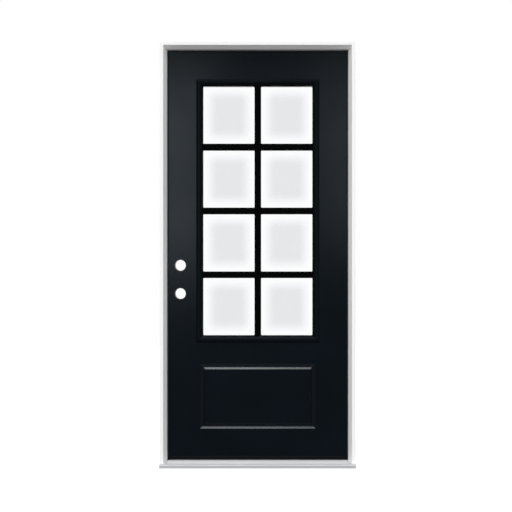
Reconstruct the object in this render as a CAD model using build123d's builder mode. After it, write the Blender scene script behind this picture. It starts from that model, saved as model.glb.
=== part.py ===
"""Prehung fibreglass entrance door: a glazed slab on butt hinges in a rabbeted frame with a sill.

Millimetres. X runs across the doorway to the right as seen from outside, Y from outside to
inside and Z up. The origin is on the sill's underside, at mid width and mid jamb depth.
"""
import os
from math import radians, tan
from build123d import *

os.makedirs("parts", exist_ok=True)

# Slab
slab_width = 904.4
slab_height = 2006.6
slab_thickness = 44.45
slab_foot = 42.6  # slab's underside above the floor
swing_gap = 5.0  # slab to jambs and head
skin = 2.4
lock_edge_bevel = 3.0  # degrees
stile_width = 32.0
top_rail_height = 40.0
bottom_rail_height = 50.0

# Frame
jamb_depth = 115.9
jamb_thickness = 19.05  # behind the slab's edge
front_edge = 17.5  # flat outside edge of the jamb
stop_projection = 12.7
front_return = 4.0  # square return behind the flat edge
splay_depth = 30.0  # sloping face from the return to the stop
arris = 1.5  # eased long edges
seal_gap = 10.5  # stop's shoulder to the slab's face
kerf_width = 3.0
kerf_depth = 9.0
kerf_inset = 2.0
kerf_clearance = 0.2

# Weatherstrip
seal_width = 18.0
seal_round = 4.0
seal_clearance = 0.4

# Sill
sill_overhang = 27.0
sill_wall = 2.2
nose_height = 15.5
nose_round = 3.0
deck_rise = 9.0
rib_count = 9
rib_pitch = 6.5
rib_width = 3.2
rib_height = 0.7
rib_end = 6.0  # ribs' ends to the stops
channel_height = 14.0  # floor under the cap
cap_height = 33.6  # top of the cap above the floor
cap_wall = 4.0
cap_round = 3.0
cap_clearance = 0.5
sweep_clearance = 1.0

# Door sweep
sweep_plate = 2.5
sweep_fin = 1.6
sweep_fins = 4
sweep_inset = 4.0

# Lites
lite_side_margin = 181.7  # slab's edge to the daylight
lite_head_margin = 181.2
lite_foot_margin = 593.4
lite_columns = 2
lite_rows = 4
bar_width = 32.5
lite_corner = 4.0
bar_draft = 20.0  # degrees
bar_proud = 2.0  # bars' face in front of the skin
lite_frame_border = 33.0
lite_frame_proud = 8.5
lite_frame_edge = 4.0  # thickness at the outer edge
edge_slope = 60.0  # degrees from square at the outer edge
glass_cover = 10.0
glass_clearance = 1.0
lite_frame_wall = 4.0
cutout_clearance = 0.5

# Glass unit
pane_thickness = 3.0
glass_thickness = 25.0
spacer_width = 9.5

# Embossed panel
panel_side_margin = 166.7  # slab's edge to the groove
panel_foot_margin = 134.4
panel_head_margin = 140.0  # groove to the daylight above
groove_width = 26.0
groove_depth = 6.0
groove_slope = 35.0  # degrees, walls from the skin's face

# Lock bores
lock_bore = 54.0
latch_bore = 25.4
backset = 69.85
lock_height = 843.0
bolt_spacing = 139.7
lock_block_web = 22.2  # core between the block and the lite cut-out
lock_block_margin = 130.0
face_plate_width = 25.4
face_plate_height = 57.15
face_plate_corner = 6.35
face_plate_depth = 3.0
strike_slot_width = 18.0
strike_slot_height = 40.0
strike_plate_width = 32.0
strike_plate_height = 57.15
strike_plate_depth = 2.0

# Hinges
hinge_height = 101.6
leaf_thickness = 2.3
leaf_reach = 36.0
leaf_corner = 15.9
leaf_clearance = 0.2
knuckle_radius = 6.5
knuckle_count = 5
knuckle_gap = 0.4
pin_radius = 3.2
pin_clearance = 0.05
pin_offset = 7.0  # pin's axis beyond the slab's inside face
pin_head_radius = 5.8
pin_head_height = 3.0
pin_head_round = 1.4
hinge_top_margin = 178.0
hinge_foot_margin = 279.0

# Placement across the jamb's depth
outside_y = -jamb_depth / 2
inside_y = jamb_depth / 2
slab_out_y = inside_y - slab_thickness
slab_mid_y = inside_y - slab_thickness / 2
core_out_y = slab_out_y + skin
core_in_y = inside_y - skin
shoulder_y = slab_out_y - seal_gap
nose_y = outside_y - sill_overhang
pin_y = inside_y + pin_offset

# Placement across and up the frame
slab_edge = slab_width / 2
slab_top = slab_foot + slab_height
rabbet_x = slab_edge + swing_gap
frame_half = rabbet_x + jamb_thickness
head_rabbet_z = slab_top + swing_gap
frame_top = head_rabbet_z + jamb_thickness
stop_depth = shoulder_y - outside_y
stop_thickness = jamb_thickness + stop_projection
deck_height = nose_height + deck_rise
core_half = slab_edge - stile_width
hinge_x = slab_edge + swing_gap / 2
lock_x = backset - slab_edge
bolt_height = lock_height + bolt_spacing
daylight_width = slab_width - 2 * lite_side_margin
daylight_height = slab_height - lite_head_margin - lite_foot_margin
daylight_mid = slab_foot + lite_foot_margin + daylight_height / 2
cutout_border = glass_cover + glass_clearance + lite_frame_wall + cutout_clearance
lock_block_width = lite_side_margin - cutout_border - lock_block_web - stile_width
panel_width = slab_width - 2 * panel_side_margin
panel_height = lite_foot_margin - panel_foot_margin - panel_head_margin
panel_mid = slab_foot + panel_foot_margin + panel_height / 2
lite_width = (daylight_width - (lite_columns - 1) * bar_width) / lite_columns
lite_height = (daylight_height - (lite_rows - 1) * bar_width) / lite_rows
glass_inset = (slab_thickness - glass_thickness) / 2
groove_taper = 90 - groove_slope
knuckle_pitch = hinge_height / knuckle_count
hinge_heights = {
    "top": slab_top - hinge_top_margin - hinge_height / 2,
    "middle": (slab_top - hinge_top_margin + slab_foot + hinge_foot_margin) / 2,
    "bottom": slab_foot + hinge_foot_margin + hinge_height / 2,
}

hinge_jamb_plane = Plane((frame_half, outside_y, 0), x_dir=(-1, 0, 0), z_dir=(0, 0, -1))
strike_jamb_plane = Plane((-frame_half, outside_y, 0), x_dir=(1, 0, 0), z_dir=(0, 0, 1))
head_jamb_plane = Plane((-frame_half, outside_y, frame_top), x_dir=(0, 0, -1), z_dir=(1, 0, 0))
sill_plane = Plane((-frame_half, 0, 0), x_dir=(0, 1, 0), z_dir=(1, 0, 0))


def facing_in(y):
    """Upright plane across the doorway at depth y, with its normal to the inside."""
    return Plane((0, y, 0), x_dir=(-1, 0, 0), z_dir=(0, 1, 0))


def facing_out(y):
    """Upright plane across the doorway at depth y, with its normal to the outside."""
    return Plane((0, y, 0), x_dir=(1, 0, 0), z_dir=(0, -1, 0))


def lock_edge(y):
    """The slab's bevelled lock edge at depth y."""
    return -slab_edge + (inside_y - y) * tan(radians(lock_edge_bevel))


def jamb_section():
    """Jamb's section: inwards from its back, then in from its outside edge."""
    kerf_near = jamb_thickness + kerf_inset
    kerf_far = kerf_near + kerf_width
    Polygon(
        (0, 0),
        (front_edge, 0),
        (front_edge, front_return),
        (stop_thickness, front_return + splay_depth),
        (stop_thickness, stop_depth),
        (kerf_far, stop_depth),
        (kerf_far, stop_depth - kerf_depth),
        (kerf_near, stop_depth - kerf_depth),
        (kerf_near, stop_depth),
        (jamb_thickness, stop_depth),
        (jamb_thickness, jamb_depth),
        (0, jamb_depth),
    )
    fillet(vertices().group_by(Axis.Y)[0] + vertices().group_by(Axis.Y)[-1], arris)


def seal_section():
    """Weatherstrip's bulb in the jamb section's axes."""
    near = jamb_thickness + kerf_clearance
    far = jamb_thickness + seal_width
    back = stop_depth + seal_gap - seal_clearance
    Polygon((near, stop_depth), (far, stop_depth), (far, back), (near, back))
    fillet(vertices().group_by(Axis.X)[-1], seal_round)


def barb_section():
    """Weatherstrip's barb in the jamb's kerf, in the jamb section's axes."""
    near = jamb_thickness + kerf_inset + kerf_clearance
    far = jamb_thickness + kerf_inset + kerf_width - kerf_clearance
    end = stop_depth - kerf_depth + kerf_clearance
    Polygon((near, end), (far, end), (far, stop_depth), (near, stop_depth))


def sill_section(inset):
    """Sill's section under its top faces, drawn in from its outer faces."""
    Polygon(
        (nose_y + inset, 0),
        (nose_y + inset, nose_height - inset),
        (shoulder_y - inset, deck_height - inset),
        (shoulder_y - inset, channel_height - inset),
        (inside_y - inset, channel_height - inset),
        (inside_y - inset, 0),
    )


def deck_rib(y):
    """Section of a tread rib on the sill's deck, rooted in the deck."""
    slope = deck_rise / (shoulder_y - nose_y)
    crest = nose_height + (y - nose_y) * slope + rib_height
    root = crest - rib_height - sill_wall / 2
    Polygon(
        (y - rib_width / 2, root),
        (y - rib_width / 4, crest),
        (y + rib_width / 4, crest),
        (y + rib_width / 2, root),
    )


def leaf_plate(grow):
    """Hinge leaf's outline from the slab's inside face outwards, round at its far corners."""
    with Locations((inside_y - (leaf_reach + grow) / 2, 0)):
        Rectangle(leaf_reach + grow, hinge_height + 2 * grow)
    fillet(vertices().group_by(Axis.X)[0], leaf_corner)


def slab_section(y_from, y_to):
    """Plan of a full width layer of the slab, bevelled at the lock edge."""
    Polygon((lock_edge(y_from), y_from), (slab_edge, y_from), (slab_edge, y_to), (lock_edge(y_to), y_to))


def groove_ring(grow):
    """Ring of the embossed panel's groove."""
    with Locations((0, panel_mid)):
        Rectangle(panel_width + 2 * grow, panel_height + 2 * grow)
        Rectangle(
            panel_width - 2 * groove_width - 2 * grow,
            panel_height - 2 * groove_width - 2 * grow,
            mode=Mode.SUBTRACT,
        )


def core_plan(x_from, x_to):
    """Plan of a square piece between the skins."""
    Polygon((x_from, core_out_y), (x_to, core_out_y), (x_to, core_in_y), (x_from, core_in_y))


def daylight(border, mode=Mode.ADD):
    """The daylight opening, grown by a border."""
    with Locations((0, daylight_mid)):
        Rectangle(daylight_width + 2 * border, daylight_height + 2 * border, mode=mode)


def bore_circles(mode=Mode.ADD):
    """The two lock bores, in a sketch that faces out."""
    with Locations((lock_x, lock_height), (lock_x, bolt_height)):
        Circle(lock_bore / 2, mode=mode)


def hinge_locations(x):
    """Places of the three hinges on an upright edge at x."""
    return [Plane((x, 0, z), x_dir=(0, 1, 0), z_dir=(1, 0, 0)) for z in hinge_heights.values()]


def save(built, label):
    """Label a piece and write it."""
    built.part.label = label
    export_step(built.part, f"parts/{label}.step")


mitre_hinge = Plane((frame_half, 0, frame_top), x_dir=(0, 1, 0), z_dir=(1, 0, -1))
mitre_strike = Plane((-frame_half, 0, frame_top), x_dir=(0, 1, 0), z_dir=(-1, 0, -1))

# Frame: jambs, mitred at the head and cut to the sill's section at the foot
with BuildPart() as hinge_jamb:
    with BuildSketch(hinge_jamb_plane):
        jamb_section()
    extrude(amount=-frame_top)
    split(bisect_by=mitre_hinge, keep=Keep.TOP)
    with BuildSketch(sill_plane):
        sill_section(0)
    extrude(amount=2 * frame_half, mode=Mode.SUBTRACT)
    with BuildSketch(*hinge_locations(rabbet_x)):
        leaf_plate(leaf_clearance)
    extrude(amount=leaf_thickness, mode=Mode.SUBTRACT)
save(hinge_jamb, "hinge_jamb")

with BuildPart() as strike_jamb:
    with BuildSketch(strike_jamb_plane):
        jamb_section()
    extrude(amount=frame_top)
    split(bisect_by=mitre_strike, keep=Keep.TOP)
    with BuildSketch(sill_plane):
        sill_section(0)
    extrude(amount=2 * frame_half, mode=Mode.SUBTRACT)
    strike_face = Plane((-rabbet_x, slab_mid_y, 0), x_dir=(0, 1, 0), z_dir=(1, 0, 0))
    with BuildSketch(strike_face):
        with Locations((0, lock_height), (0, bolt_height)):
            RectangleRounded(strike_plate_width, strike_plate_height, face_plate_corner)
    extrude(amount=-strike_plate_depth, mode=Mode.SUBTRACT)
    with BuildSketch(strike_face):
        with Locations((0, lock_height), (0, bolt_height)):
            SlotOverall(strike_slot_height, strike_slot_width, rotation=90)
    extrude(amount=-jamb_thickness, mode=Mode.SUBTRACT)
save(strike_jamb, "strike_jamb")

with BuildPart() as head_jamb:
    with BuildSketch(head_jamb_plane):
        jamb_section()
    extrude(amount=2 * frame_half)
    split(bisect_by=mitre_hinge, keep=Keep.BOTTOM)
    split(bisect_by=mitre_strike, keep=Keep.BOTTOM)
save(head_jamb, "head_jamb")

# Frame: sill
with BuildPart() as sill_base:
    with BuildSketch(sill_plane):
        sill_section(sill_wall)
    extrude(amount=2 * frame_half)
save(sill_base, "sill_base")

with BuildPart() as sill_deck:
    with BuildSketch(sill_plane):
        sill_section(0)
        fillet(vertices().sort_by(Axis.X)[:2].sort_by(Axis.Y)[-1], nose_round)
    extrude(amount=2 * frame_half)
    with BuildSketch(sill_plane):
        sill_section(sill_wall)
    extrude(amount=2 * frame_half, mode=Mode.SUBTRACT)
    rib_half = rabbet_x - stop_projection - rib_end
    with BuildSketch(Plane((-rib_half, 0, 0), x_dir=(0, 1, 0), z_dir=(1, 0, 0))):
        for number in range(rib_count):
            deck_rib((nose_y + shoulder_y) / 2 + (number - (rib_count - 1) / 2) * rib_pitch)
    extrude(amount=2 * rib_half)
save(sill_deck, "sill_deck")

with BuildPart() as sill_cap:
    cap_half = rabbet_x - cap_clearance
    cap_front = shoulder_y + cap_clearance
    with BuildSketch(Plane((-cap_half, 0, 0), x_dir=(0, 1, 0), z_dir=(1, 0, 0))):
        Polygon(
            (cap_front, channel_height),
            (cap_front, cap_height),
            (inside_y, cap_height),
            (inside_y, channel_height),
        )
        fillet(vertices().group_by(Axis.Y)[-1], cap_round)
        Polygon(
            (cap_front + cap_wall, channel_height),
            (cap_front + cap_wall, cap_height - cap_wall),
            (inside_y - cap_wall, cap_height - cap_wall),
            (inside_y - cap_wall, channel_height),
            mode=Mode.SUBTRACT,
        )
    extrude(amount=2 * cap_half)
save(sill_cap, "sill_cap")

# Frame: weatherstrip, the uprights running from the cap up to the head's strip
upright_seal_foot = cap_height + cap_clearance
upright_seal_top = head_rabbet_z - seal_width - kerf_clearance
upright_seal_length = upright_seal_top - upright_seal_foot

with BuildPart() as weatherstrip_head:
    with BuildSketch(head_jamb_plane.offset(jamb_thickness + kerf_clearance)):
        seal_section()
    extrude(amount=2 * (rabbet_x - kerf_clearance))
    barb_inset = jamb_thickness + kerf_inset + kerf_width
    with BuildSketch(head_jamb_plane.offset(barb_inset)):
        barb_section()
    extrude(amount=2 * (frame_half - barb_inset))
save(weatherstrip_head, "weatherstrip_head")

with BuildPart() as weatherstrip_hinge_side:
    with BuildSketch(hinge_jamb_plane.offset(-upright_seal_foot)):
        seal_section()
        barb_section()
    extrude(amount=-upright_seal_length)
save(weatherstrip_hinge_side, "weatherstrip_hinge_side")

with BuildPart() as weatherstrip_strike_side:
    with BuildSketch(strike_jamb_plane.offset(upright_seal_foot)):
        seal_section()
        barb_section()
    extrude(amount=upright_seal_length)
save(weatherstrip_strike_side, "weatherstrip_strike_side")

# Door: skins, formed inwards at the panel's groove
ring_grow = skin * tan(radians(groove_slope / 2))

with BuildPart() as exterior_skin:
    with BuildSketch(Plane.XY.offset(slab_foot)):
        slab_section(slab_out_y, core_out_y)
    extrude(amount=slab_height)
    with BuildSketch(facing_in(core_out_y)):
        groove_ring(ring_grow)
    extrude(amount=groove_depth, taper=groove_taper)
    with BuildSketch(facing_in(slab_out_y)):
        groove_ring(0)
    extrude(amount=groove_depth, taper=groove_taper, mode=Mode.SUBTRACT)
    with BuildSketch(facing_out(core_out_y)):
        daylight(cutout_border)
        bore_circles()
    extrude(amount=skin, mode=Mode.SUBTRACT)
save(exterior_skin, "exterior_skin")

with BuildPart() as interior_skin:
    with BuildSketch(Plane.XY.offset(slab_foot)):
        slab_section(core_in_y, inside_y)
    extrude(amount=slab_height)
    with BuildSketch(facing_out(core_in_y)):
        groove_ring(ring_grow)
    extrude(amount=groove_depth, taper=groove_taper)
    with BuildSketch(facing_out(inside_y)):
        groove_ring(0)
    extrude(amount=groove_depth, taper=groove_taper, mode=Mode.SUBTRACT)
    with BuildSketch(facing_out(inside_y)):
        daylight(cutout_border)
        bore_circles()
    extrude(amount=skin, mode=Mode.SUBTRACT)
    with BuildSketch(*hinge_locations(slab_edge)):
        leaf_plate(leaf_clearance)
    extrude(amount=-leaf_thickness, mode=Mode.SUBTRACT)
save(interior_skin, "interior_skin")

# Door: edges, lock block and core between the skins
edge_face = Plane((lock_edge(slab_mid_y), slab_mid_y, 0), x_dir=(0, 1, 0), z_dir=(1, 0, 0))
latch_centres = ((0, lock_height), (0, bolt_height))

with BuildPart() as lock_stile:
    with BuildSketch(Plane.XY.offset(slab_foot)):
        Polygon(
            (lock_edge(core_out_y), core_out_y),
            (-core_half, core_out_y),
            (-core_half, core_in_y),
            (lock_edge(core_in_y), core_in_y),
        )
    extrude(amount=slab_height)
    with BuildSketch(edge_face):
        with Locations(*latch_centres):
            RectangleRounded(face_plate_width, face_plate_height, face_plate_corner)
    extrude(amount=face_plate_depth, both=True, mode=Mode.SUBTRACT)
    with BuildSketch(edge_face):
        with Locations(*latch_centres):
            Circle(latch_bore / 2)
    extrude(amount=backset, mode=Mode.SUBTRACT)
save(lock_stile, "lock_stile")

with BuildPart() as hinge_stile:
    with BuildSketch(Plane.XY.offset(slab_foot)):
        core_plan(core_half, slab_edge)
    extrude(amount=slab_height)
    with BuildSketch(*hinge_locations(slab_edge)):
        leaf_plate(leaf_clearance)
    extrude(amount=-leaf_thickness, mode=Mode.SUBTRACT)
save(hinge_stile, "hinge_stile")

with BuildPart() as top_rail:
    with BuildSketch(Plane.XY.offset(slab_top)):
        core_plan(-core_half, core_half)
    extrude(amount=-top_rail_height)
save(top_rail, "top_rail")

with BuildPart() as bottom_rail:
    with BuildSketch(Plane.XY.offset(slab_foot)):
        core_plan(-core_half, core_half)
    extrude(amount=bottom_rail_height)
save(bottom_rail, "bottom_rail")

lock_block_foot = lock_height - lock_block_margin
lock_block_height = bolt_spacing + 2 * lock_block_margin
core_thickness = core_in_y - core_out_y

with BuildPart() as lock_block:
    with BuildSketch(facing_out(core_in_y)):
        with Locations((-core_half + lock_block_width / 2, lock_block_foot + lock_block_height / 2)):
            Rectangle(lock_block_width, lock_block_height)
        bore_circles(Mode.SUBTRACT)
    extrude(amount=core_thickness)
    with BuildSketch(edge_face):
        with Locations(*latch_centres):
            Circle(latch_bore / 2)
    extrude(amount=backset, mode=Mode.SUBTRACT)
save(lock_block, "lock_block")

core_foot = slab_foot + bottom_rail_height
core_height = slab_height - bottom_rail_height - top_rail_height

with BuildPart() as foam_core:
    with BuildSketch(facing_out(core_in_y)):
        with Locations((0, core_foot + core_height / 2)):
            Rectangle(2 * core_half, core_height)
        with Locations((-core_half + lock_block_width / 2, lock_block_foot + lock_block_height / 2)):
            Rectangle(lock_block_width, lock_block_height, mode=Mode.SUBTRACT)
        daylight(cutout_border, Mode.SUBTRACT)
    extrude(amount=core_thickness)
    with BuildSketch(facing_in(core_out_y)):
        groove_ring(ring_grow)
    extrude(amount=groove_depth, taper=groove_taper, mode=Mode.SUBTRACT)
    with BuildSketch(facing_out(core_in_y)):
        groove_ring(ring_grow)
    extrude(amount=groove_depth, taper=groove_taper, mode=Mode.SUBTRACT)
save(foam_core, "foam_core")

# Door: lite frames with their bars, the halves meeting inside the slab
bar_rise = glass_inset + bar_proud
ridge_rise = lite_frame_proud - bar_proud
pocket_grow = bar_rise * tan(radians(bar_draft))

with BuildPart() as exterior_lite_frame:
    with BuildSketch(facing_out(slab_out_y)):
        daylight(lite_frame_border)
    extrude(amount=lite_frame_edge)
    with BuildSketch(facing_out(slab_out_y - lite_frame_edge)):
        daylight(lite_frame_border)
    extrude(amount=lite_frame_proud - lite_frame_edge, taper=edge_slope)
    with BuildSketch(facing_in(slab_out_y)):
        daylight(cutout_border - cutout_clearance)
    extrude(amount=slab_thickness / 2)
    with BuildSketch(facing_in(slab_out_y + glass_inset)):
        daylight(glass_cover + glass_clearance)
    extrude(amount=slab_thickness / 2, mode=Mode.SUBTRACT)
    with BuildSketch(facing_out(slab_out_y - bar_proud)):
        daylight(pocket_grow)
    extrude(amount=ridge_rise, taper=-edge_slope, mode=Mode.SUBTRACT)
    with BuildSketch(facing_out(slab_out_y + glass_inset)):
        with Locations((0, daylight_mid)):
            with GridLocations(lite_width + bar_width, lite_height + bar_width, lite_columns, lite_rows):
                RectangleRounded(lite_width, lite_height, lite_corner)
    extrude(amount=bar_rise, taper=-bar_draft, mode=Mode.SUBTRACT)
save(exterior_lite_frame, "exterior_lite_frame")

with BuildPart() as interior_lite_frame:
    add(exterior_lite_frame.part)
    mirror(about=Plane.XZ.offset(-slab_mid_y), mode=Mode.REPLACE)
save(interior_lite_frame, "interior_lite_frame")

# Door: sealed glass unit
glass_out_y = slab_out_y + glass_inset
glass_in_y = glass_out_y + glass_thickness

with BuildPart() as exterior_pane:
    with BuildSketch(facing_in(glass_out_y)):
        daylight(glass_cover)
    extrude(amount=pane_thickness)
save(exterior_pane, "exterior_pane")

with BuildPart() as interior_pane:
    with BuildSketch(facing_out(glass_in_y)):
        daylight(glass_cover)
    extrude(amount=pane_thickness)
save(interior_pane, "interior_pane")

with BuildPart() as glass_spacer:
    with BuildSketch(facing_in(glass_out_y + pane_thickness)):
        daylight(glass_cover)
        daylight(glass_cover - spacer_width, Mode.SUBTRACT)
    extrude(amount=glass_thickness - 2 * pane_thickness)
save(glass_spacer, "glass_spacer")

# Door: sweep
with BuildPart() as door_sweep:
    fin_foot = cap_height + sweep_clearance
    fin_span = core_in_y - core_out_y - sweep_fin
    with BuildSketch(Plane((-slab_edge + sweep_inset, 0, 0), x_dir=(0, 1, 0), z_dir=(1, 0, 0))):
        Polygon(
            (core_out_y, slab_foot - sweep_plate),
            (core_out_y, slab_foot),
            (core_in_y, slab_foot),
            (core_in_y, slab_foot - sweep_plate),
        )
        with Locations((slab_mid_y, (slab_foot + fin_foot) / 2)):
            with GridLocations(fin_span / (sweep_fins - 1), 0, sweep_fins, 1):
                Rectangle(sweep_fin, slab_foot - fin_foot)
    extrude(amount=slab_width - 2 * sweep_inset)
save(door_sweep, "door_sweep")

# Hinges: jamb leaf with the outer knuckles, door leaf with the inner ones, and the pin
for place, height in hinge_heights.items():
    hinge_foot = height - hinge_height / 2
    knuckle_length = knuckle_pitch - knuckle_gap
    knuckle_feet = [hinge_foot + i * knuckle_pitch + knuckle_gap / 2 for i in range(knuckle_count)]

    with BuildPart() as jamb_leaf:
        with BuildSketch(Plane((rabbet_x, 0, height), x_dir=(0, 1, 0), z_dir=(1, 0, 0))):
            leaf_plate(0)
        extrude(amount=leaf_thickness)
        for foot in knuckle_feet[0::2]:
            with BuildSketch(Plane.XY.offset(foot)):
                Polygon(
                    (rabbet_x, inside_y),
                    (rabbet_x + leaf_thickness, inside_y),
                    (rabbet_x + leaf_thickness, pin_y),
                    (rabbet_x, pin_y),
                )
                with Locations((hinge_x, pin_y)):
                    Circle(knuckle_radius)
                    Circle(pin_radius + pin_clearance, mode=Mode.SUBTRACT)
            extrude(amount=knuckle_length)
    save(jamb_leaf, f"{place}_hinge_jamb_leaf")

    with BuildPart() as door_leaf:
        with BuildSketch(Plane((slab_edge, 0, height), x_dir=(0, 1, 0), z_dir=(1, 0, 0))):
            leaf_plate(0)
        extrude(amount=-leaf_thickness)
        for foot in knuckle_feet[1::2]:
            with BuildSketch(Plane.XY.offset(foot)):
                Polygon(
                    (slab_edge, inside_y),
                    (slab_edge - leaf_thickness, inside_y),
                    (slab_edge - leaf_thickness, pin_y),
                    (slab_edge, pin_y),
                )
                with Locations((hinge_x, pin_y)):
                    Circle(knuckle_radius)
                    Circle(pin_radius + pin_clearance, mode=Mode.SUBTRACT)
            extrude(amount=knuckle_length)
    save(door_leaf, f"{place}_hinge_door_leaf")

    with BuildPart() as hinge_pin:
        pin_foot = knuckle_feet[0]
        pin_top = knuckle_feet[-1] + knuckle_length
        with BuildSketch(Plane.XY.offset(pin_foot)):
            with Locations((hinge_x, pin_y)):
                Circle(pin_radius)
        extrude(amount=pin_top - pin_foot)
        with BuildSketch(Plane.XY.offset(pin_top)):
            with Locations((hinge_x, pin_y)):
                Circle(pin_head_radius)
        extrude(amount=pin_head_height)
        fillet(edges().group_by(Axis.Z)[-1], pin_head_round)
    save(hinge_pin, f"{place}_hinge_pin")
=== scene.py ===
"""Prehung entrance door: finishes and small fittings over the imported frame."""

import math

import bmesh
import bpy
from bpy.props import FloatProperty, FloatVectorProperty, IntProperty, PointerProperty
from mathutils import Matrix, Vector


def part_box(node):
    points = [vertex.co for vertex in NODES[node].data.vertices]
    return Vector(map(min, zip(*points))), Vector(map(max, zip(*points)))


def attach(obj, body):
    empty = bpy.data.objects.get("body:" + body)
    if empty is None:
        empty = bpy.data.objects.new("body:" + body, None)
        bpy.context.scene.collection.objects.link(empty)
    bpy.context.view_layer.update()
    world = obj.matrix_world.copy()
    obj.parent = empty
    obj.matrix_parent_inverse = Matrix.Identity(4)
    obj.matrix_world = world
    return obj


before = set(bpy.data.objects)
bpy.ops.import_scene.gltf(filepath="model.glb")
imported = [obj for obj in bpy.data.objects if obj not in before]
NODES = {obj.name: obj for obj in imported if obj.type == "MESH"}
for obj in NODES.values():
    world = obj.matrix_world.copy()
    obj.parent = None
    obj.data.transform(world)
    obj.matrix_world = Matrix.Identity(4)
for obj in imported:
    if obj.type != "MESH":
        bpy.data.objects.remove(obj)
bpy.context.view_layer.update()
HINGES = ("top", "middle", "bottom")

bl_info = {
    "name": "Entrance Door",
    "version": (1, 0, 0),
    "blender": (4, 5, 0),
    "location": "View3D > Sidebar > Door",
    "description": "Finishes and small fittings of a prehung entrance door",
    "category": "Object",
}

# Slab paint: how strong and how cool its gloss is, and the clear coat that puts a painted highlight in the
# panel's groove
PAINT_GLOSS = 0.045
GLOSS_TINT = (0.84, 0.95, 1.0, 1.0)
GROOVE_HIGHLIGHT_COAT = 0.14
GROOVE_HIGHLIGHT_ROUGHNESS = 0.2

# Embossed panel on a skin: from the skin's edges to the groove's outer line, the groove's width, and
# the share of the groove's painted highlight in its upright runs
PANEL_SIDE_MARGIN = 0.1667
PANEL_FOOT_MARGIN = 0.1344
PANEL_HEIGHT = 0.319
GROOVE_WIDTH = 0.026
UPRIGHT_HIGHLIGHT_SHARE = 0.35

# Lites: how many there are, the bar between them, what the lite frame covers of the pane's edge, and
# how far the painted shade in the glass takes to come up from a bar
LITE_COLUMNS = 2
LITE_ROWS = 4
BAR_WIDTH = 0.0325
PANE_COVER = 0.010
PAINTED_SHADE_FADE = 0.075

# Hinge screws: rows as shares of a leaf's half height, and how far in from the leaf's front edge
SCREW_ROWS = (-0.76, -0.27, 0.27, 0.76)
SCREW_DEPTHS = (0.021, 0.0095)

# Turned shapes as shares of a radius and a height
SCREW_DOME = ((1.0, -1.0), (1.0, 0.2), (0.93, 0.6), (0.74, 1.0))
PLUG_DOME = ((1.0, -1.0), (1.0, 0.3), (0.96, 0.6), (0.84, 0.85), (0.5, 1.0), (0.0, 1.0))

# Plugs: how far in from the lite frame's edge, and where along its head and foot
PLUG_INSET = 0.0165
PLUGS_ACROSS = (0.25, 0.75)

# Soft boxes: name, setting of its power, size across and up, place, and whether gloss shows it.
# The two front boxes stand where the lites don't mirror them; the others stay out of reflections.
SOFT_BOXES = (
    ("key_soft_box", "key_power", (0.44, 2.0), (-0.9, -5.2, 1.88), True),
    ("fill_soft_box", "fill_power", (0.44, 1.7), (0.84, -5.2, 2.06), True),
    ("back_soft_box", "back_power", (2.6, 2.4), (2.6, 4.8, 2.2), False),
    ("left_soft_box", "side_power", (2.6, 2.4), (-5.2, 0.8, 1.8), False),
    ("right_soft_box", "side_power", (2.6, 2.4), (5.2, 0.8, 1.8), False),
)
SOFT_BOX_AIM = (0.0, 0.0, 1.1)

# Distant lights: name, setting of its strength, angle in degrees, and where it shines from
DISTANT_LIGHTS = (
    ("top_light", "top_strength", 14.0, (-0.25, -1.85, 6.0)),
    ("front_light", "front_strength", 24.0, (-0.2, -4.2, 6.0)),
)
DISTANT_AIM = (0.0, 0.0, 1.0)

# Camera: sensor width in millimetres, and how far it sees in metres
SENSOR_WIDTH = 36.0
VIEW_LIMIT = 100.0


def colour_property(name, description, default):
    """A colour that a user may change."""
    return FloatVectorProperty(
        name=name, description=description, subtype="COLOR", size=3, min=0.0, max=1.0, default=default
    )


def length_property(name, description, default):
    """A length in metres that a user may change."""
    return FloatProperty(
        name=name,
        description=description,
        unit="LENGTH",
        subtype="DISTANCE",
        precision=4,
        default=default,
    )


def power_property(name, description, default):
    """A lamp's power in watts that a user may change."""
    return FloatProperty(name=name, description=description, unit="POWER", min=0.0, default=default)


def level_property(name, description, default):
    """A plain level that a user may change."""
    return FloatProperty(name=name, description=description, min=0.0, default=default)


class DoorFinishes(bpy.types.PropertyGroup):
    """Colours of the door's finishes."""

    slab_paint: colour_property("Slab paint", "Satin paint on the slab", (0.0012, 0.0029, 0.0052))
    lite_border: colour_property("Lite border", "Painted border round the lites", (0.0026, 0.0044, 0.006))
    lite_bars: colour_property("Lite bars", "Black bars between the lites", (0.0005, 0.0005, 0.0006))
    clear_glass: colour_property("Clear glass", "Glass beside the bars", (0.99, 1.0, 1.0))
    # Painted shade: the tone the glass greys to in the middle of each lite
    shaded_glass_centre: colour_property("Shaded glass centre", "Glass in the middle of a lite", (0.885, 0.89, 0.9))
    primer: colour_property("Primer", "Factory primer on the jambs", (0.9, 0.9, 0.895))
    deck_metal: colour_property("Deck", "Anodised aluminium of the sill's deck", (0.435, 0.44, 0.446))
    sill_base: colour_property("Sill base", "Composite under the deck", (0.13, 0.125, 0.12))
    sill_cap: colour_property("Sill cap", "Composite cap under the slab", (0.0014, 0.0018, 0.0022))
    seal: colour_property("Seals", "Weatherstrips in the jambs", (0.02, 0.02, 0.021))
    sweep: colour_property("Sweep", "Seal under the slab", (0.005, 0.0052, 0.0055))
    hinge_metal: colour_property("Hinges", "Satin plated steel", (0.4, 0.39, 0.375))
    spacer_metal: colour_property("Spacer", "Bar between the panes", (0.09, 0.09, 0.095))
    bare_wood: colour_property("Lock block", "Bare wood inside the lock bores", (0.4, 0.29, 0.18))
    rail: colour_property("Rails", "Composite rails at the slab's ends", (0.06, 0.058, 0.055))
    foam: colour_property("Core", "Rigid foam between the skins", (0.72, 0.63, 0.38))


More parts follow.
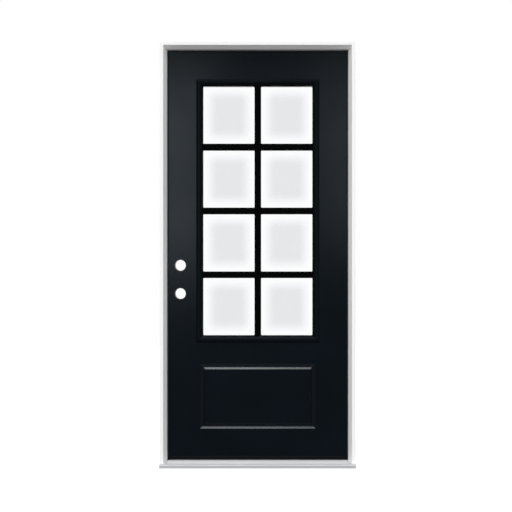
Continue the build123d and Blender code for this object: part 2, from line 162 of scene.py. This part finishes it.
class DoorFittings(bpy.types.PropertyGroup):
    """Sizes of the small fittings."""

    screw_radius: length_property("Screw head radius", "Countersunk heads in the leaves", 0.0046)
    screw_height: length_property("Screw head height", "How far a head stands above its leaf", 0.0004)
    plug_radius: length_property("Plug radius", "Caps over the inside lite frame's screws", 0.0052)
    plug_height: length_property("Plug height", "How far a cap stands above the lite frame", 0.0011)
    plugs_each_side: IntProperty(
        name="Plugs a side", description="Caps down each side of the lite frame", min=2, default=5
    )


class DoorStage(bpy.types.PropertyGroup):
    """Light, floor and camera."""

    floor_colour: colour_property("Floor", "Pale studio floor", (0.15, 0.15, 0.15))
    floor_glow: level_property("Floor glow", "What brings the seen floor up to white", 0.87)
    floor_size: length_property("Floor size", "Side of the floor", 14.0)
    ambient: level_property("Ambient", "Soft light from all round", 0.07)
    key_power: power_property("Key", "Soft box left of the camera", 71.0)
    fill_power: power_property("Fill", "Soft box right of the camera", 34.0)
    back_power: power_property("Back", "Soft box behind the door", 165.0)
    side_power: power_property("Sides", "Soft boxes beside the door", 120.0)
    top_strength: level_property("Top light", "Soft light from above the door", 1.8)
    front_strength: level_property("Front light", "Soft light high in front", 1.53)
    camera_distance: length_property("Distance", "Camera to the front of the frame", 5.0)
    camera_side: length_property("Side step", "Camera to the right of mid width", 0.06)
    camera_height: length_property("Height", "Camera above the floor", 1.0076)
    camera_shift: FloatVectorProperty(
        name="Shift", description="Lens shift across and up", size=2, precision=4, default=(-0.0272, 0.0084)
    )
    lens: FloatProperty(name="Lens", description="Focal length", unit="CAMERA", min=1.0, default=72.24)


def add(tree, kind, inputs=None, **settings):
    """Puts one shader node in a tree, with its settings and its inputs."""
    made = tree.nodes.new(kind)
    for key, value in settings.items():
        setattr(made, key, value)
    for key, value in (inputs or {}).items():
        if isinstance(value, bpy.types.NodeSocket):
            tree.links.new(value, made.inputs[key])
        else:
            made.inputs[key].default_value = value
    return made


def reckon(tree, operation, *values):
    """One sum on numbers and sockets."""
    return add(tree, "ShaderNodeMath", dict(enumerate(values)), operation=operation).outputs[0]


def start_finish(name, **constants):
    """A new material with its shader; constants go straight on the shader's sockets."""
    finish = bpy.data.materials.new(name)
    finish.use_nodes = True
    tree = finish.node_tree
    tree.nodes.clear()
    shader = add(tree, "ShaderNodeBsdfPrincipled")
    output = add(tree, "ShaderNodeOutputMaterial")
    tree.links.new(shader.outputs["BSDF"], output.inputs["Surface"])
    for key, value in constants.items():
        shader.inputs[key.replace("_", " ")].default_value = value
    return finish, tree, shader


def place(tree, stretch=(1.0, 1.0, 1.0)):
    """The piece's own coordinates, in metres, squeezed or drawn out along each axis."""
    where = add(tree, "ShaderNodeTexCoord").outputs["Object"]
    return add(tree, "ShaderNodeMapping", {"Vector": where, "Scale": stretch}).outputs["Vector"]


def drawn_out(along, share):
    """A stretch that draws a pattern out along one axis."""
    return [share if axis == along else 1.0 for axis in "XYZ"]


def noise(tree, scale, stretch=(1.0, 1.0, 1.0), detail=2.0, bend=0.0):
    """Soft irregular variation from 0 to 1."""
    made = add(
        tree,
        "ShaderNodeTexNoise",
        {"Vector": place(tree, stretch), "Scale": scale, "Detail": detail, "Distortion": bend},
    )
    return made.outputs["Fac"]


def span(tree, value, low, high, start=0.25, end=0.75):
    """Carries a value from one range to another."""
    made = add(
        tree,
        "ShaderNodeMapRange",
        {"Value": value, "From Min": start, "From Max": end, "To Min": low, "To Max": high},
    )
    return made.outputs["Result"]


def two_tone(tree, value, dark, light, start=0.3, end=0.7):
    """A colour between two tones."""
    ramp = add(tree, "ShaderNodeValToRGB", {"Fac": value})
    for point, at, tone in zip(ramp.color_ramp.elements, (start, end), (dark, light)):
        point.position = at
        point.color = (*tone, 1.0)
    return ramp.outputs["Color"]


def relief(tree, height, strength, depth, under=None):
    """Fine surface relief of a given depth in metres."""
    inputs = {"Height": height, "Strength": strength, "Distance": depth}
    if under is not None:
        inputs["Normal"] = under
    return add(tree, "ShaderNodeBump", inputs).outputs["Normal"]


def shade(tone, by):
    """A colour made darker or lighter."""
    return tuple(min(1.0, part * by) for part in tone)


def dress(shader, tree, **sockets):
    """Joins worked-out values to the shader."""
    for key, value in sockets.items():
        tree.links.new(value, shader.inputs[key.replace("_", " ")])


def wear(finish, *names):
    """Gives CAD nodes a finish."""
    for name in names:
        NODES[name].material_slots[0].material = finish


def off_centre(tree, middle):
    """Distances from mid width and from a middle height."""
    where = add(tree, "ShaderNodeSeparateXYZ", {"Vector": place(tree)}).outputs
    height = reckon(tree, "SUBTRACT", where["Z"], middle)
    return [reckon(tree, "ABSOLUTE", side) for side in (where["X"], height)]


def within(tree, middle, half_across, half_up):
    """1 inside an upright rectangle of the slab's face and 0 outside it."""
    away_across, away_up = off_centre(tree, middle)
    inside_across = reckon(tree, "LESS_THAN", away_across, half_across)
    inside_up = reckon(tree, "LESS_THAN", away_up, half_up)
    return reckon(tree, "MULTIPLY", inside_across, inside_up)


def groove_highlight_runs(tree, skin_node):
    """Painted highlight along the embossed panel's groove: 1 in its level runs, less in its upright runs
    and 0 elsewhere.
    """
    low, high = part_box(skin_node)
    half_across = (high.x - low.x) / 2 - PANEL_SIDE_MARGIN
    half_up = PANEL_HEIGHT / 2
    middle = low.z + PANEL_FOOT_MARGIN + half_up
    outer = within(tree, middle, half_across, half_up)
    field = within(tree, middle, half_across - GROOVE_WIDTH, half_up - GROOVE_WIDTH)
    ring = reckon(tree, "SUBTRACT", outer, field)
    # Level runs take the full painted highlight; upright runs take a share, as light falls from above
    across, up = off_centre(tree, middle)
    lead = reckon(tree, "SUBTRACT", across, up)
    level = reckon(tree, "LESS_THAN", lead, half_across - half_up)
    return reckon(tree, "MULTIPLY", ring, span(tree, level, UPRIGHT_HIGHLIGHT_SHARE, 1.0, 0.0, 1.0))


def satin_paint(name, tone, roughness):
    """Sprayed satin paint with a fine orange peel."""
    finish, tree, shader = start_finish(name, Specular_IOR_Level=PAINT_GLOSS, Specular_Tint=GLOSS_TINT)
    cloud = noise(tree, 4.5, detail=3.0)
    peel = noise(tree, 380.0)
    ripple = noise(tree, 11.0)
    dress(
        shader,
        tree,
        Base_Color=two_tone(tree, cloud, shade(tone, 0.88), shade(tone, 1.12)),
        Roughness=span(tree, cloud, *roughness),
        Normal=relief(tree, peel, 0.12, 0.0003, relief(tree, ripple, 0.05, 0.002)),
    )
    return finish


def add_groove_highlight(paint):
    """Partly painted highlight: a clear coat in the panel's groove that reflects the lamps, strongest along
    its level runs where light from above falls.
    """
    tree = paint.node_tree
    shader = next(node for node in tree.nodes if node.type == "BSDF_PRINCIPLED")
    shader.inputs["Coat Roughness"].default_value = GROOVE_HIGHLIGHT_ROUGHNESS
    highlight_mask = groove_highlight_runs(tree, "exterior_skin")
    # Painted highlight: coat weight masked to the groove, stronger in its level runs
    dress(shader, tree, Coat_Weight=span(tree, highlight_mask, 0.0, GROOVE_HIGHLIGHT_COAT, 0.0, 1.0))


def moulded_polymer(name, tone, gloss, roughness, grain=700.0):
    """Moulded plastic or composite with a fine stipple."""
    finish, tree, shader = start_finish(name, Specular_IOR_Level=gloss)
    cloud = noise(tree, 9.0, detail=3.0)
    stipple = noise(tree, grain, detail=1.0)
    dress(
        shader,
        tree,
        Base_Color=two_tone(tree, cloud, shade(tone, 0.85), shade(tone, 1.15)),
        Roughness=span(tree, stipple, *roughness),
        Normal=relief(tree, stipple, 0.15, 0.0003),
    )
    return finish


def primed_board(name, tone, along):
    """Primer over a planed board, with faint brush lines along its length."""
    finish, tree, shader = start_finish(name, Specular_IOR_Level=0.35)
    lines = noise(tree, 650.0, drawn_out(along, 0.03), detail=3.0)
    cloud = noise(tree, 6.0, drawn_out(along, 0.4), detail=4.0)
    speck = noise(tree, 1500.0, detail=1.0)
    dress(
        shader,
        tree,
        Base_Color=two_tone(tree, cloud, shade(tone, 0.965), tone),
        Roughness=span(tree, lines, 0.46, 0.62),
        Normal=relief(tree, lines, 0.12, 0.0003, relief(tree, speck, 0.06, 0.0002)),
    )
    return finish


def drawn_metal(name, tone, along, roughness, metallic=1.0):
    """Metal with fine streaks along the way it was drawn or brushed."""
    finish, tree, shader = start_finish(name, Metallic=metallic)
    streak = noise(tree, 1100.0, drawn_out(along, 0.004), detail=3.0)
    cloud = noise(tree, 14.0, detail=3.0)
    dress(
        shader,
        tree,
        Base_Color=two_tone(tree, streak, shade(tone, 0.92), shade(tone, 1.05)),
        Roughness=span(tree, cloud, *roughness),
        Normal=relief(tree, streak, 0.1, 0.0002),
    )
    return finish


def seal_skin(name, tone):
    """Thin vinyl skin over soft foam, slightly creased."""
    finish, tree, shader = start_finish(name, Specular_IOR_Level=0.1)
    crease = noise(tree, 60.0, detail=3.0, bend=0.6)
    pore = noise(tree, 900.0, detail=1.0)
    dress(
        shader,
        tree,
        Base_Color=two_tone(tree, crease, shade(tone, 0.8), shade(tone, 1.2)),
        Roughness=span(tree, pore, 0.5, 0.68),
        Normal=relief(tree, pore, 0.15, 0.0002, relief(tree, crease, 0.1, 0.0006)),
    )
    return finish


def bare_wood(name, tone):
    """Planed wood with its grain upright."""
    finish, tree, shader = start_finish(name, Specular_IOR_Level=0.3)
    grain = noise(tree, 90.0, drawn_out("Z", 0.06), detail=4.0, bend=0.8)
    fibre = noise(tree, 900.0, drawn_out("Z", 0.03))
    dress(
        shader,
        tree,
        Base_Color=two_tone(tree, grain, shade(tone, 0.7), shade(tone, 1.15)),
        Roughness=span(tree, fibre, 0.55, 0.75),
        Normal=relief(tree, fibre, 0.25, 0.0004),
    )
    return finish


def rigid_foam(name, tone):
    """Cut foam with open cells."""
    finish, tree, shader = start_finish(name, Specular_IOR_Level=0.2)
    cells = add(tree, "ShaderNodeTexVoronoi", {"Vector": place(tree), "Scale": 800.0})
    depth = cells.outputs["Distance"]
    dress(
        shader,
        tree,
        Base_Color=two_tone(tree, depth, shade(tone, 0.8), tone, 0.1, 0.6),
        Roughness=span(tree, depth, 0.8, 0.95, 0.0, 0.7),
        Normal=relief(tree, depth, 0.4, 0.0008),
    )
    return finish


def lite_polymer(name, border, bars):
    """Moulded lite frame: satin border, dull black bars."""
    finish, tree, shader = start_finish(name, Specular_IOR_Level=0.015)
    low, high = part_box("exterior_pane")
    border_reach, bar_dullness = 0.006, 0.27
    half_across = (high.x - low.x) / 2 - border_reach
    half_up = (high.z - low.z) / 2 - border_reach
    bar_zone = within(tree, (low.z + high.z) / 2, half_across, half_up)
    stipple = noise(tree, 700.0, detail=1.0)
    satin = span(tree, stipple, 0.38, 0.44)
    dress(
        shader,
        tree,
        Base_Color=two_tone(tree, bar_zone, border, bars, 0.0, 1.0),
        Roughness=reckon(tree, "MULTIPLY_ADD", bar_zone, bar_dullness, satin),
        Normal=relief(tree, stipple, 0.15, 0.0003),
    )
    return finish


def lite_painted_shade(tree):
    """Painted shade: a soft grey patch in the middle of each lite, 0 beside the bars and 1 at its centre.
    """
    low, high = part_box("exterior_pane")
    pitch_across = (high.x - low.x - 2 * PANE_COVER + BAR_WIDTH) / LITE_COLUMNS
    pitch_up = (high.z - low.z - 2 * PANE_COVER + BAR_WIDTH) / LITE_ROWS
    where = add(tree, "ShaderNodeSeparateXYZ", {"Vector": place(tree)}).outputs
    height = reckon(tree, "SUBTRACT", where["Z"], (low.z + high.z) / 2)
    soft = []
    for line, pitch in ((where["X"], pitch_across), (height, pitch_up)):
        from_bar = reckon(tree, "PINGPONG", line, pitch / 2)
        fade = add(
            tree,
            "ShaderNodeMapRange",
            {"Value": from_bar, "From Min": BAR_WIDTH / 2, "From Max": BAR_WIDTH / 2 + PAINTED_SHADE_FADE},
            interpolation_type="SMOOTHSTEP",
        )
        soft.append(fade.outputs["Result"])
    return reckon(tree, "MULTIPLY", *soft)


def float_glass(name, clear, shaded_centre):
    """Float glass with painted shade, greyer towards the middle of each lite."""
    finish, tree, shader = start_finish(name, Transmission_Weight=1.0, IOR=1.45)
    wave = noise(tree, 3.0, detail=1.0)
    dress(
        shader,
        tree,
        # Painted shade greying the middle of each lite
        Base_Color=two_tone(tree, lite_painted_shade(tree), clear, shaded_centre, 0.0, 1.0),
        Roughness=span(tree, wave, 0.0, 0.01),
        Normal=relief(tree, wave, 0.03, 0.0008),
    )
    return finish


def new_piece(name, shape, finish, body):
    """Turns a bmesh into a piece that rides on a body."""
    mesh = bpy.data.meshes.new(name)
    shape.to_mesh(mesh)
    shape.free()
    mesh.materials.append(finish)
    piece = bpy.data.objects.new(name, mesh)
    bpy.context.scene.collection.objects.link(piece)
    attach(piece, body)
    return piece


def facing(point, normal):
    """Stands a shape's Z along a level normal at a point, with its Y upright."""
    z = Vector(normal)
    y = Vector((0.0, 0.0, 1.0))
    turn = Matrix((y.cross(z), y, z)).transposed().to_4x4()
    return Matrix.Translation(point) @ turn


def turned(shape, profile, radius, height, at, segments=24):
    """Turns a profile of radius and height shares about Z, with its first ring open below."""
    angles = [2 * math.pi * step / segments for step in range(segments)]
    rings = []
    for out, up in profile:
        points = [Vector((0.0, 0.0, height * up))]
        if out > 0.0:
            reach = radius * out
            points = [Vector((reach * math.cos(a), reach * math.sin(a), height * up)) for a in angles]
        rings.append([shape.verts.new(at @ point) for point in points])
    for below, above in zip(rings, rings[1:]):
        for step in range(segments):
            following = (step + 1) % segments
            if len(above) == 1:
                face = (below[step], below[following], above[0])
            else:
                face = (below[step], below[following], above[following], above[step])
            shape.faces.new(face).smooth = True
    return rings


def screw_head(shape, at, radius, height):
    """A domed countersunk head with a cross recess."""
    arm, half, deep = radius * 0.56, radius * 0.15, radius * 0.42
    taper, floor_share = 0.45, 0.8
    top = turned(shape, SCREW_DOME, radius, height, at)[-1]
    corners = []
    for quarter in range(4):
        spin = Matrix.Rotation(quarter * math.pi / 2, 4, "Z")
        for point in ((arm, -half), (arm, half), (half, half)):
            corners.append(at @ spin @ Vector((*point, height)))
    mouth = [shape.verts.new(point) for point in corners]
    edges = [shape.edges.new((a, b)) for a, b in zip(mouth, mouth[1:] + mouth[:1])]
    edges += [shape.edges.get((a, b)) for a, b in zip(top, top[1:] + top[:1])]
    bmesh.ops.triangle_fill(shape, edges=edges, use_beauty=True, use_dissolve=False)
    centre = at @ Vector((0.0, 0.0, height))
    sink = (at.to_3x3() @ Vector((0.0, 0.0, 1.0))) * -deep
    lowest = shape.verts.new(centre + sink)
    floor = [shape.verts.new(vert.co.lerp(centre, taper) + sink * floor_share) for vert in mouth]
    for step in range(len(mouth)):
        following = (step + 1) % len(mouth)
        shape.faces.new((mouth[following], mouth[step], floor[step], floor[following]))
        shape.faces.new((floor[following], floor[step], lowest))


class DOOR_OT_paint_jambs(bpy.types.Operator):
    """Prime the three jambs, each along its own length"""

    bl_idname = "door.paint_jambs"
    bl_label = "Prime the Jambs"

    def execute(self, context):
        tone = tuple(context.scene.door_finishes.primer)
        wear(primed_board("upright_primer", tone, "Z"), "hinge_jamb", "strike_jamb")
        wear(primed_board("head_primer", tone, "X"), "head_jamb")
        return {"FINISHED"}


class DOOR_OT_finish_sill(bpy.types.Operator):
    """Finish the sill's base, deck and cap"""

    bl_idname = "door.finish_sill"
    bl_label = "Finish the Sill"

    def execute(self, context):
        finishes = context.scene.door_finishes
        tone = tuple(finishes.deck_metal)
        wear(drawn_metal("anodised_deck", tone, "X", roughness=(0.4, 0.5), metallic=0.1), "sill_deck")
        tone = tuple(finishes.sill_base)
        base = moulded_polymer("base_composite", tone, gloss=0.3, roughness=(0.55, 0.7), grain=260.0)
        wear(base, "sill_base")
        tone = tuple(finishes.sill_cap)
        wear(moulded_polymer("cap_composite", tone, gloss=0.05, roughness=(0.5, 0.62)), "sill_cap")
        return {"FINISHED"}


class DOOR_OT_finish_seals(bpy.types.Operator):
    """Finish the weatherstrips and the sweep"""

    bl_idname = "door.finish_seals"
    bl_label = "Finish the Seals"

    def execute(self, context):
        finishes = context.scene.door_finishes
        skin = seal_skin("seal_vinyl", tuple(finishes.seal))
        wear(skin, "weatherstrip_head", "weatherstrip_hinge_side", "weatherstrip_strike_side")
        wear(seal_skin("sweep_vinyl", tuple(finishes.sweep)), "door_sweep")
        return {"FINISHED"}


class DOOR_OT_paint_slab(bpy.types.Operator):
    """Paint the skins and edges of the slab and finish what is inside it"""

    bl_idname = "door.paint_slab"
    bl_label = "Paint the Slab"

    def execute(self, context):
        finishes = context.scene.door_finishes
        tone = tuple(finishes.slab_paint)
        skin_paint = satin_paint("skin_paint", tone, roughness=(0.2, 0.25))
        # Painted highlight in the panel's groove
        add_groove_highlight(skin_paint)
        wear(skin_paint, "exterior_skin", "interior_skin")
        wear(satin_paint("edge_paint", tone, roughness=(0.3, 0.37)), "lock_stile", "hinge_stile")
        rail = moulded_polymer("rail_composite", tuple(finishes.rail), gloss=0.25, roughness=(0.5, 0.65))
        wear(rail, "top_rail", "bottom_rail")
        wear(bare_wood("block_wood", tuple(finishes.bare_wood)), "lock_block")
        wear(rigid_foam("core_foam", tuple(finishes.foam)), "foam_core")
        return {"FINISHED"}


class DOOR_OT_glaze_lites(bpy.types.Operator):
    """Finish the lite frames, the panes and their spacer"""

    bl_idname = "door.glaze_lites"
    bl_label = "Glaze the Lites"

    def execute(self, context):
        finishes = context.scene.door_finishes
        polymer = lite_polymer("lite_polymer", tuple(finishes.lite_border), tuple(finishes.lite_bars))
        wear(polymer, "exterior_lite_frame", "interior_lite_frame")
        # The glass carries painted shade in the middle of each lite
        glass = float_glass("float_glass", tuple(finishes.clear_glass), tuple(finishes.shaded_glass_centre))
        wear(glass, "exterior_pane", "interior_pane")
        spacer = drawn_metal("spacer_metal", tuple(finishes.spacer_metal), "Z", roughness=(0.4, 0.5))
        wear(spacer, "glass_spacer")
        return {"FINISHED"}


class DOOR_OT_finish_hinges(bpy.types.Operator):
    """Brush the hinge leaves and pins"""

    bl_idname = "door.finish_hinges"
    bl_label = "Finish the Hinges"

    def execute(self, context):
        tone = tuple(context.scene.door_finishes.hinge_metal)
        satin = drawn_metal("hinge_satin", tone, "Z", roughness=(0.46, 0.56))
        for hinge in HINGES:
            wear(satin, f"{hinge}_hinge_jamb_leaf", f"{hinge}_hinge_door_leaf", f"{hinge}_hinge_pin")
        return {"FINISHED"}


class DOOR_OT_drive_screws(bpy.types.Operator):
    """Drive the screws that hold the hinge leaves"""

    bl_idname = "door.drive_screws"
    bl_label = "Drive the Hinge Screws"

    def execute(self, context):
        fittings = context.scene.door_fittings
        tone = tuple(context.scene.door_finishes.hinge_metal)
        steel = drawn_metal("screw_steel", tone, "Z", roughness=(0.34, 0.42))
        slab_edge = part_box("hinge_stile")[1].x
        pin_low, pin_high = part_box("middle_hinge_pin")
        rabbet = pin_low.x + pin_high.x - slab_edge
        sides = (("jamb", "frame", rabbet, -1.0), ("door", "door", slab_edge, 1.0))
        for hinge in HINGES:
            for side, body, face, normal in sides:
                low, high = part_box(f"{hinge}_hinge_{side}_leaf")
                middle = (low.z + high.z) / 2
                shape = bmesh.new()
                for row, share in enumerate(SCREW_ROWS):
                    depth = low.y + SCREW_DEPTHS[row % 2]
                    spot = (face, depth, middle + share * (high.z - middle))
                    at = facing(spot, (normal, 0.0, 0.0))
                    screw_head(shape, at, fittings.screw_radius, fittings.screw_height)
                new_piece(f"{hinge}_hinge_{side}_screws", shape, steel, body)
        return {"FINISHED"}


class DOOR_OT_fit_plugs(bpy.types.Operator):
    """Press the plugs over the screws of the inside lite frame"""

    bl_idname = "door.fit_plugs"
    bl_label = "Fit the Screw Plugs"

    def execute(self, context):
        fittings = context.scene.door_fittings
        tone = tuple(context.scene.door_finishes.lite_border)
        finish = moulded_polymer("plug_polymer", tone, gloss=0.1, roughness=(0.36, 0.44))
        low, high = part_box("interior_lite_frame")
        count = fittings.plugs_each_side
        places = []
        for step in range(count):
            height = low.z + PLUG_INSET + (high.z - low.z - 2 * PLUG_INSET) * (step + 0.5) / count
            places += [(low.x + PLUG_INSET, height), (high.x - PLUG_INSET, height)]
        for share in PLUGS_ACROSS:
            across = low.x + (high.x - low.x) * share
            places += [(across, low.z + PLUG_INSET), (across, high.z - PLUG_INSET)]
        shape = bmesh.new()
        for across, height in places:
            at = facing((across, high.y, height), (0.0, 1.0, 0.0))
            turned(shape, PLUG_DOME, fittings.plug_radius, fittings.plug_height, at)
        new_piece("lite_frame_plugs", shape, finish, "door")
        return {"FINISHED"}


def seen(tree):
    """1 for rays that show the background: straight to the camera, mirrored or through glass."""
    path = add(tree, "ShaderNodeLightPath").outputs
    shown = reckon(tree, "MAXIMUM", path["Is Camera Ray"], path["Is Glossy Ray"])
    return reckon(tree, "MAXIMUM", shown, path["Is Transmission Ray"])


class DOOR_OT_lay_stage(bpy.types.Operator):
    """Lay the floor, hang the light and stand the camera"""

    bl_idname = "door.lay_stage"
    bl_label = "Lay the Stage"

    def execute(self, context):
        scene = context.scene
        stage = scene.door_stage
        scene.view_settings.view_transform = "Standard"
        self.lay_floor(scene, stage)
        self.light(scene, stage)
        self.stand_camera(scene, stage)
        return {"FINISHED"}

    def lay_floor(self, scene, stage):
        """A plain floor that shows white and keeps the door's shadow."""
        shape = bmesh.new()
        bmesh.ops.create_grid(shape, x_segments=8, y_segments=8, size=stage.floor_size / 2)
        mesh = bpy.data.meshes.new("studio_floor")
        shape.to_mesh(mesh)
        shape.free()
        floor = bpy.data.objects.new("studio_floor", mesh)
        scene.collection.objects.link(floor)
        paper = bpy.data.materials.new("floor_paper")
        paper.use_nodes = True
        tree = paper.node_tree
        tree.nodes.clear()
        matt = add(tree, "ShaderNodeBsdfDiffuse", {"Color": (*stage.floor_colour, 1.0)})
        level = reckon(tree, "MULTIPLY", seen(tree), stage.floor_glow)
        glow = add(tree, "ShaderNodeEmission", {"Strength": level})
        both = add(tree, "ShaderNodeAddShader", {0: matt.outputs["BSDF"], 1: glow.outputs["Emission"]})
        add(tree, "ShaderNodeOutputMaterial", {"Surface": both.outputs["Shader"]})
        mesh.materials.append(paper)

    def light(self, scene, stage):
        """A white surround that lights softly, five soft boxes and two distant lights."""
        world = bpy.data.worlds.new("studio")
        world.use_nodes = True
        tree = world.node_tree
        tree.nodes.clear()
        level = span(tree, seen(tree), stage.ambient, 1.0, 0.0, 1.0)
        white = add(tree, "ShaderNodeBackground", {"Color": (1.0, 1.0, 1.0, 1.0), "Strength": level})
        add(tree, "ShaderNodeOutputWorld", {"Surface": white.outputs["Background"]})
        scene.world = world
        for name, setting, size, spot, mirrored in SOFT_BOXES:
            lamp = bpy.data.lights.new(name, "AREA")
            lamp.shape = "RECTANGLE"
            lamp.size, lamp.size_y = size
            lamp.energy = getattr(stage, setting)
            self.hang(scene, lamp, spot, SOFT_BOX_AIM).visible_glossy = mirrored
        for name, setting, angle, spot in DISTANT_LIGHTS:
            sun = bpy.data.lights.new(name, "SUN")
            sun.energy = getattr(stage, setting)
            sun.angle = math.radians(angle)
            self.hang(scene, sun, spot, DISTANT_AIM)

    def hang(self, scene, lamp, spot, aim):
        """Hangs a lamp at a spot, turned to its aim and out of sight."""
        held = bpy.data.objects.new(lamp.name, lamp)
        held.location = spot
        held.rotation_euler = (Vector(aim) - held.location).to_track_quat("-Z", "Y").to_euler()
        held.visible_camera = False
        held.visible_transmission = False
        scene.collection.objects.link(held)
        return held

    def stand_camera(self, scene, stage):
        """A level camera straight in front, shifted to the photograph's framing."""
        data = bpy.data.cameras.new("photo_camera")
        data.sensor_width = SENSOR_WIDTH
        data.lens = stage.lens
        data.shift_x, data.shift_y = stage.camera_shift
        data.clip_end = VIEW_LIMIT
        camera = bpy.data.objects.new("photo_camera", data)
        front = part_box("head_jamb")[0].y
        camera.location = (stage.camera_side, front - stage.camera_distance, stage.camera_height)
        camera.rotation_euler = (math.radians(90.0), 0.0, 0.0)
        scene.collection.objects.link(camera)
        scene.camera = camera


OPERATORS = (
    DOOR_OT_paint_jambs,
    DOOR_OT_finish_sill,
    DOOR_OT_finish_seals,
    DOOR_OT_paint_slab,
    DOOR_OT_glaze_lites,
    DOOR_OT_finish_hinges,
    DOOR_OT_drive_screws,
    DOOR_OT_fit_plugs,
    DOOR_OT_lay_stage,
)


class DOOR_PT_pieces(bpy.types.Panel):
    """The door's pieces, in the order they are made"""

    bl_idname = "DOOR_PT_pieces"
    bl_label = "Entrance Door"
    bl_space_type = "VIEW_3D"
    bl_region_type = "UI"
    bl_category = "Door"

    def draw(self, context):
        scene = context.scene
        for operator in OPERATORS:
            self.layout.operator(operator.bl_idname)
        for settings in (scene.door_finishes, scene.door_fittings, scene.door_stage):
            box = self.layout.box()
            for key in settings.__annotations__:
                box.prop(settings, key)


CLASSES = (DoorFinishes, DoorFittings, DoorStage, *OPERATORS, DOOR_PT_pieces)


def register():
    for cls in CLASSES:
        bpy.utils.register_class(cls)
    bpy.types.Scene.door_finishes = PointerProperty(type=DoorFinishes)
    bpy.types.Scene.door_fittings = PointerProperty(type=DoorFittings)
    bpy.types.Scene.door_stage = PointerProperty(type=DoorStage)


def unregister():
    del bpy.types.Scene.door_stage
    del bpy.types.Scene.door_fittings
    del bpy.types.Scene.door_finishes
    for cls in reversed(CLASSES):
        bpy.utils.unregister_class(cls)


def main():
    register()
    bpy.ops.door.paint_jambs()
    bpy.ops.door.finish_sill()
    bpy.ops.door.finish_seals()
    bpy.ops.door.paint_slab()
    bpy.ops.door.glaze_lites()
    bpy.ops.door.finish_hinges()
    bpy.ops.door.drive_screws()
    bpy.ops.door.fit_plugs()
    bpy.ops.door.lay_stage()


if __name__ == "__main__":
    main()
